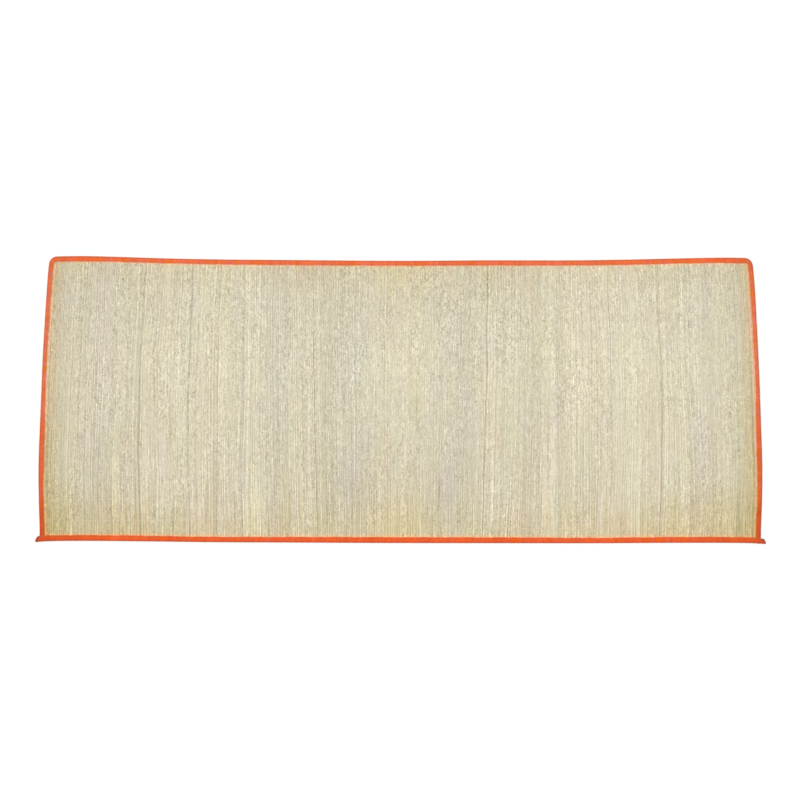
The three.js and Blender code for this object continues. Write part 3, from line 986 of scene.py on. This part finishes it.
# How the tapes' dye and width change: shares of red, green and blue, and how much wider the cloth
# lies on the upper face. The places are heights on the sides, and distances from the middle on the
# top, which goes from left to right, and on the bottom, whose two halves are alike.
WEAR_COLUMNS = ("place", "red", "green", "blue", "wider")
SIDE_WEAR = (
    (-350, 0.77, 0.50, 0.10, -0.8),
    (-290, 0.79, 0.60, 0.28, -0.7),
    (-230, 0.90, 0.80, 0.65, -0.5),
    (-160, 0.90, 0.80, 0.62, 0.9),
    (-50, 0.93, 0.93, 0.92, 1.2),
    (50, 0.93, 1.09, 1.25, 1.5),
    (150, 0.92, 1.10, 1.20, 1.9),
    (240, 0.955, 1.11, 1.20, 1.45),
    (300, 0.90, 1.02, 1.10, 1.2),
    (340, 0.86, 0.90, 0.95, 1.2),
)
TOP_WEAR = (
    (-880, 0.86, 0.90, 0.90, 1.2),
    (-840, 0.97, 0.92, 0.75, 1.9),
    (-780, 1.01, 0.92, 0.65, 1.9),
    (-700, 1, 1, 0.95, 1.3),
    (0, 1, 1, 1, 1.3),
    (150, 1, 1, 1, 1.9),
    (300, 1, 1, 1, 2.2),
    (600, 1, 1, 1, 1.9),
    (740, 1, 0.95, 0.75, 1.3),
    (810, 1.01, 0.86, 0.55, 1.3),
    (860, 0.96, 0.90, 0.8, 1.8),
    (880, 0.86, 0.90, 0.9, 1.2),
)
BOTTOM_WEAR = (
    (0, 1, 0.725, 0.39, 0),
    (720, 1, 0.725, 0.39, 0),
    (800, 0.92, 0.65, 0.28, 0),
    (850, 0.87, 0.63, 0.21, 0),
    (880, 0.90, 0.62, 0.22, 0),
    (893, 1, 0.53, 0.20, 0),
)
# Shares that the shade in the open ends of the bottom tape takes off red, green and blue
TAIL_SHADE = (0.64, 0.42, 0.1)


def wear_at(table, places, columns=WEAR_COLUMNS):
    """All of a table's values at the places given, by default the tape's red, green, blue and extra width."""
    at = column(table, columns, "place")
    return np.stack([np.interp(places, at, column(table, columns, name)) for name in columns[1:]], -1)


def tape_shades(run, seed, dyes, fringe):
    """Colours over the tape: painted shade darkening the fold and the inner edges, a paler fringe at its
    inner edge, and changes of tone and dye along it."""
    own = np.random.default_rng(seed)
    waves = ((410, 0.012, seed), (167, 0.014, seed * 2.3), (61, 0.02, seed * 1.3), (23, 0.018, seed * 3.1))
    slow = ripple(run, waves) + 0.025 * own.standard_normal(len(run))
    dye = own.standard_normal(len(run))
    dye[1:-1] = (dye[:-2] + 1.5 * dye[1:-1] + dye[2:]) / 2.06
    # Painted shading round the section: darker at the fold and near the inner edges
    painted_shading = np.array(TAPE_PAINTED_SHADING + TAPE_PAINTED_SHADING[::-1])
    pale = (fringe[:, None] * np.array(TAPE_PALENESS + TAPE_PALENESS[::-1]))[..., None]
    across = painted_shading[:, None] * (1 - pale + pale * np.array(PALE_CLOTH))
    tints = [np.ones(len(run)), 1 + 0.6 * slow + 0.02 * dye, 1 + 0.6 * slow + 0.3 * dye]
    along = (1 + slow)[:, None] * np.stack(tints, 1)
    return np.clip((along * dyes)[:, None, :] * across, 0.03, 9.0)


def tail_shade(rings):
    """How deep in shade each point of the bottom tape is beside its open, slanting ends, from 0 to 1."""
    near = np.full(rings.shape[:2], 99.0)
    for rows in (BOTTOM_EDGE[:4], BOTTOM_EDGE[-4:]):
        along, out, width = (column(rows, EDGE_COLUMNS, name) for name in EDGE_COLUMNS)
        steps = np.linspace(0, 3, 40)
        end = np.stack([np.interp(steps, range(4), along), np.interp(steps, range(4), out + width)], -1)
        tip = np.argmax(np.abs(along))
        end = np.concatenate([end, [[along[tip], out[tip]]]])
        near = np.minimum(near, np.linalg.norm(rings[:, :, None, :2] - end, axis=-1).min(-1))
    return np.exp(-near / 7)


def add_upper_tape(material):
    """The tape of both sides and the top, whose ends are tucked into the bottom tape."""
    points, normal, width = upper_path()
    run = run_along(points)
    ends = np.minimum(run, run[-1] - run)
    tucked = 1 - ease((ends - 14.5) / 5)
    uneven = ripple(run, ((90, 0.25, 1.0), (31, 0.22, 0.3), (13.5, 0.16, 2.0)))
    puckers = ripple(run, ((12, 0.05, 0.0), (19, 0.06, 1.0), (47, 0.07, 0.6)))
    on_top = np.clip(normal[:, 1:], 0, 1) ** 2
    tape_changes = wear_at(SIDE_WEAR, points[:, 1]) * (1 - on_top) + wear_at(TOP_WEAR, points[:, 0]) * on_top
    sections = []
    for i in range(len(points)):
        low, high = 0.8 * tucked[i], BOUND_HEIGHT - 0.8 * tucked[i] + puckers[i] * (1 - tucked[i])
        wide = width[i] + (tape_changes[i, 3] + uneven[i]) * (1 - tucked[i])
        cloth = TAPE_CLOTH - 0.05 * tucked[i]
        sections.append(fold_profile(wide, low, high, cloth, width[i], 0.22 * (1 - tucked[i])))
    shades = tape_shades(run, 3, tape_changes[:, :3], np.ones(len(run)))
    sewn_tape("tape_sides_top", "binding_sides_top", (points, normal), sections, material, 8, shades)


def add_bottom_tape(material):
    """The tape of the bottom edge, whose open ends run past the corners."""
    points, normal, width = lower_path()
    run = run_along(points)
    x = points[:, 0]
    tail = np.maximum(1 - ease((x + 900.6) / 12), 1 - ease((900.6 - x) / 12))
    over_side = [ease((side * x - 876) / 6) * (1 - ease((side * x - 890) / 5)) for side in (-1, 1)]
    over_side = np.maximum(*over_side)
    uneven = ripple(run, ((103, 0.3, 0.4), (37, 0.25, 1.9), (15, 0.18, 0.2))) * (1 - tail)
    puckers = ripple(run, ((12.5, 0.05, 0.0), (21, 0.06, 2.0), (53, 0.07, 1.6))) * (1 - tail)
    tape_changes = wear_at(BOTTOM_WEAR, np.abs(x))
    sections = []
    for i in range(len(points)):
        high = BOUND_HEIGHT - 0.8 * tail[i] + puckers[i] + 0.35 * over_side[i]
        left_end = x[i] < 0
        cut_back = 2.8 if left_end else 1.6
        from_tip = x[i] + 900.6 if left_end else 900.6 - x[i]
        upper_share = ease((from_tip - cut_back * 0.2) / (cut_back + 1.5)) if from_tip < 9 else 1.0
        wide = max(1.62, (width[i] + tape_changes[i, 3] + uneven[i]) * float(upper_share))
        sections.append(fold_profile(wide, 0.0, high, TAPE_CLOTH, width[i], 0.22 * (1 - tail[i])))
    shades = tape_shades(run, 5, tape_changes[:, :3], 1 - tail)
    shade = tail_shade(tape_rings((points, normal), sections))
    shades *= 1 - shade[..., None] * np.array(TAIL_SHADE)
    sewn_tape("tape_bottom", "binding_bottom", (points, normal), sections, material, 5, shades)


# The stitching


# How often a stitch begins, how long it is, and how far from the tape's inner edge it lies
STITCH_PITCH, STITCH_LENGTH, STITCH_INSET = 4.2, 3.1, 2.2


def add_stitches(name, path, material, keep, seed):
    """Short stitches along the tape's inner edge, on its face and on its underside, except for the
    length kept free at both ends."""
    points, normal, width = path
    own = np.random.default_rng(seed)
    run = run_along(points)
    starts = np.arange(keep, run[-1] - keep, STITCH_PITCH)
    rings, places = [], []
    shares = np.array([0.0, 0.18, 0.5, 0.82, 1.0])
    thick = np.array([0.06, 0.24, 0.26, 0.24, 0.06])
    lift = np.array([-0.12, 0.12, 0.16, 0.12, -0.12])
    for level, way in ((BOUND_HEIGHT - 0.08, 1), (0.10, -1)):
        begin = starts + 0.15 * own.standard_normal(len(starts))
        at = begin[:, None] + STITCH_LENGTH * shares[None]
        x, y, nx, ny, wide = (np.interp(at, run, values) for values in (*points.T, *normal.T, width))
        aside = -(wide - STITCH_INSET) + 0.12 * own.standard_normal(len(starts))[:, None]
        x, y = x + nx * aside, y + ny * aside
        height = np.maximum(level + way * lift, 0.05)
        for k in range(4):
            turn = math.pi / 4 + k * math.pi / 2
            out, up = math.cos(turn), math.sin(turn)
            rings.append(stacked(x + nx * out * thick, y + ny * out * thick, height + up * thick * 0.8))
            places.append(stacked(at * MM, k / 4, seed * 0.7))
    upper, lower = np.stack(rings[:4], 2), np.stack(rings[4:], 2)
    shape = np.concatenate([upper, lower])
    shape[..., 2] = np.maximum(shape[..., 2], 0.01)
    place = np.concatenate([np.stack(places[:4], 2), np.stack(places[4:], 2)])
    size = len(shape)
    side = int(math.ceil(math.sqrt(size)))
    left = np.repeat(((np.arange(size) % side) / side)[:, None], 5, 1)
    height = (np.arange(size) // side / side)[:, None] + shares[None] * 0.8 / side
    return add_tubes(name, shape, material, (left, 0.8 / side, height), None, place)


# Light, floor and camera


def add_floor(material):
    mesh = bpy.data.meshes.new("floor")
    size = 30.0
    corners = [(-size, -size, 0), (size, -size, 0), (size, size, 0), (-size, size, 0)]
    mesh.from_pydata(corners, [], [(0, 1, 2, 3)])
    mesh.materials.append(material)
    floor = bpy.data.objects.new("floor", mesh)
    bpy.context.scene.collection.objects.link(floor)
    floor.location.z = -0.0004


def add_light():
    world = bpy.data.worlds.new("studio")
    bpy.context.scene.world = world
    world.use_nodes = True
    sky = world.node_tree.nodes["Background"]
    sky.inputs["Color"].default_value = (1.0, 1.0, 1.0, 1.0)
    sky.inputs["Strength"].default_value = 0.72
    lamp = bpy.data.lights.new("soft_key", "SUN")
    lamp.energy = 1.55
    lamp.angle = math.radians(38)
    lamp.color = (1.0, 0.985, 0.965)
    key = bpy.data.objects.new("soft_key", lamp)
    key.rotation_euler = (math.radians(-14), math.radians(-26), 0)
    bpy.context.scene.collection.objects.link(key)


def add_camera():
    """Almost straight above, a little towards the mat's near edge."""
    elevation, distance = math.radians(83), 3.05
    target = Vector((-0.0011, -0.00515, 0.0))
    back = Vector((0, -math.cos(elevation), math.sin(elevation)))
    lens = bpy.data.cameras.new("camera")
    lens.sensor_width = 36
    lens.lens = 54.89
    lens.clip_start, lens.clip_end = 0.05, 100
    camera = bpy.data.objects.new("camera", lens)
    camera.location = target + back * distance
    camera.rotation_mode = "QUATERNION"
    camera.rotation_quaternion = (-back).to_track_quat("-Z", "Y")
    bpy.context.scene.collection.objects.link(camera)
    bpy.context.scene.camera = camera


def build():
    scene = bpy.context.scene
    scene.view_settings.view_transform = "Standard"
    streaks, weave, blotches = streak_group(), weave_group(), blotch_group()
    rush = rush_material(streaks)
    tape = tape_material(weave, blotches)
    cotton = yarn_material("cotton_thread", THREAD_COLOUR, blotches, 5200.0)
    sewing = yarn_material("orange_thread", (0.83, 0.16, 0.06), blotches, 6000.0)
    add_camera()
    runs, lie = add_panel(rush)
    threads = add_threads(cotton, lie)
    add_upper_tape(tape)
    add_bottom_tape(tape)
    stitches = [
        add_stitches("stitches_sides_top", upper_path(), sewing, 20, 11),
        add_stitches("stitches_bottom", lower_path(), sewing, 12, 12),
    ]
    for number, (run, flat) in enumerate(runs):
        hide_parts("woven_panel")
    add_light()
    add_floor(floor_material(blotches))


build()
